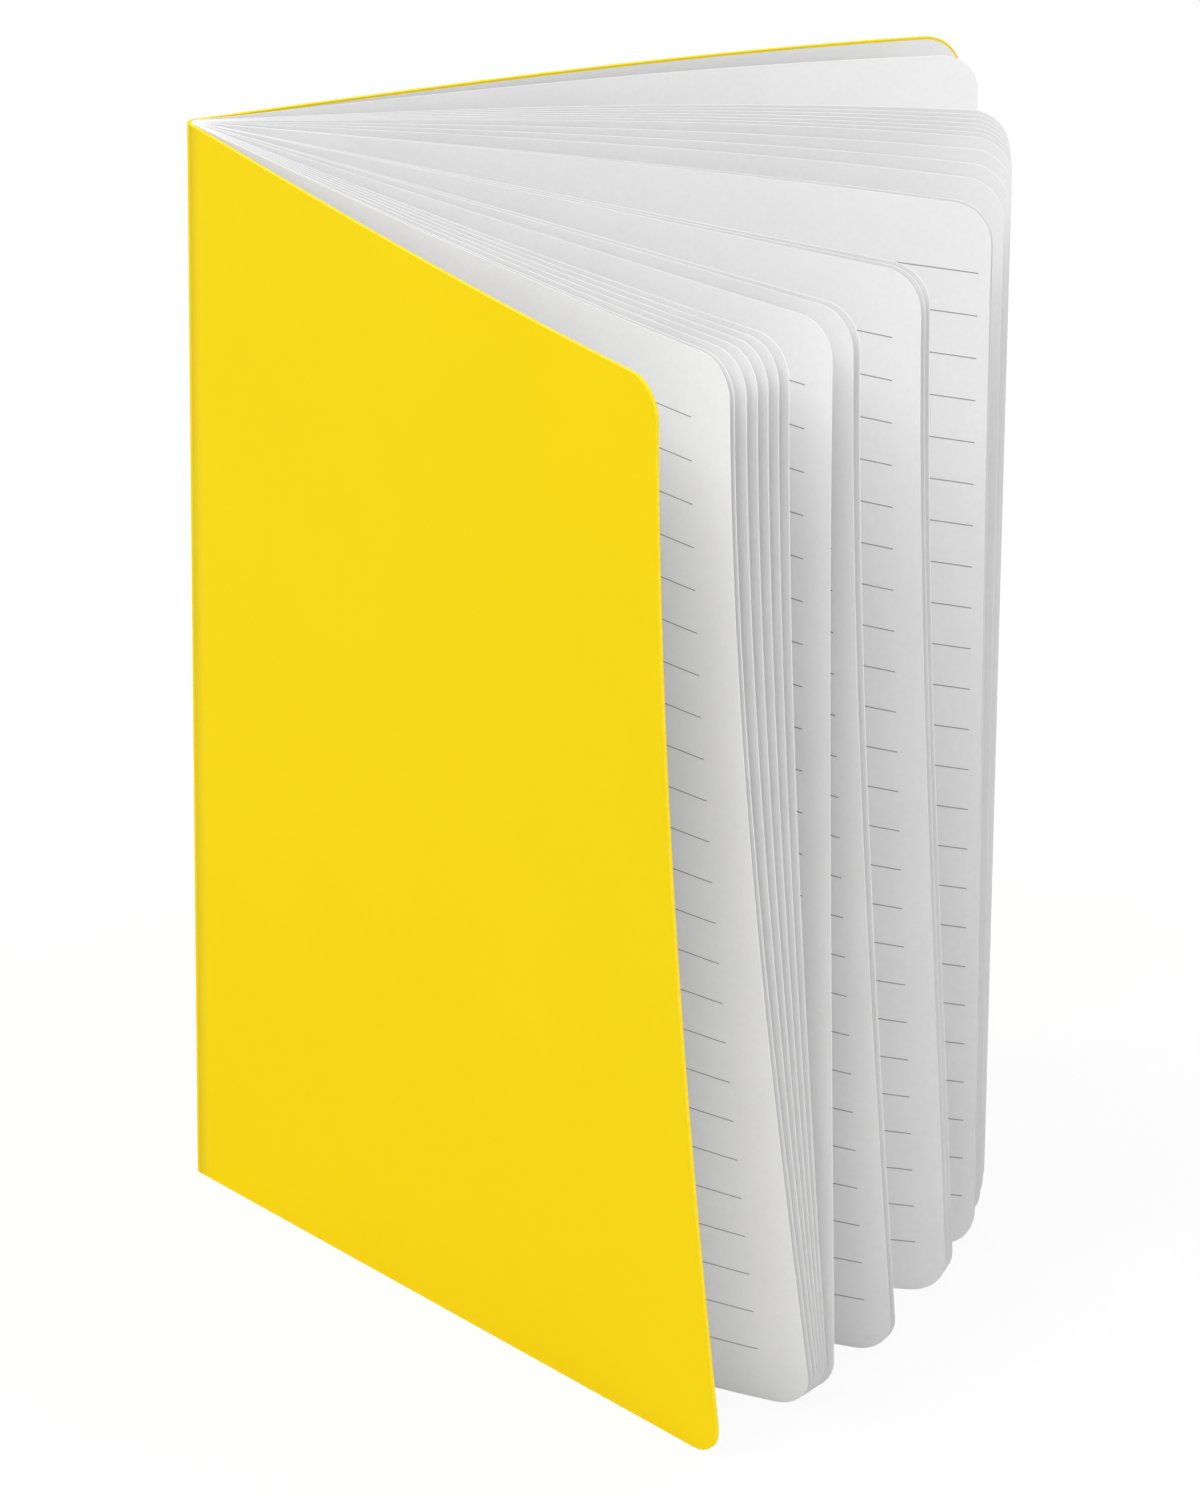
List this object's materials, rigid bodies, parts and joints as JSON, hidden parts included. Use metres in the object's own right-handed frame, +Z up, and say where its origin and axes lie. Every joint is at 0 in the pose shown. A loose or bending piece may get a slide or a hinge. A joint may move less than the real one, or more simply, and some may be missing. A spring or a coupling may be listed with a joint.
{
  "type": "notebook",
  "caption": "Softcover A5 notebook with rounded corners and ruled leaves, standing on its foot half open with its leaves fanned; both covers turn at the spine",
  "frame": {"origin": "foot of the fold, at the middle of the round that the sheets are folded about", "axes": "+Z up along the spine, +X from the spine to the fore edges, -Y towards the front cover's side"},
  "size_m": [0.1481, 0.173, 0.21],
  "materials": {
    "cover": "smooth soft matt",
    "paper": "uncoated matt",
    "wire": "drawn wire"
  },
  "bodies": {
    "book_block": {"pages": "paper", "spine": "cover", "staples": "wire"},
    "front": {"front_cover": "cover"},
    "back": {"back_cover": "cover"}
  },
  "joints": [
    {"name": "front_crease", "type": "hinge", "parent": "book_block", "child": "front", "pos_m": [-0.00174, -0.00131, 0.105], "axis": [0, 0, -1], "range_deg": [0, 120]},
    {"name": "back_crease", "type": "hinge", "parent": "book_block", "child": "back", "pos_m": [-0.00086, 0.002, 0.105], "axis": [0, 0, 1], "range_deg": [0, 120]}
  ]
}
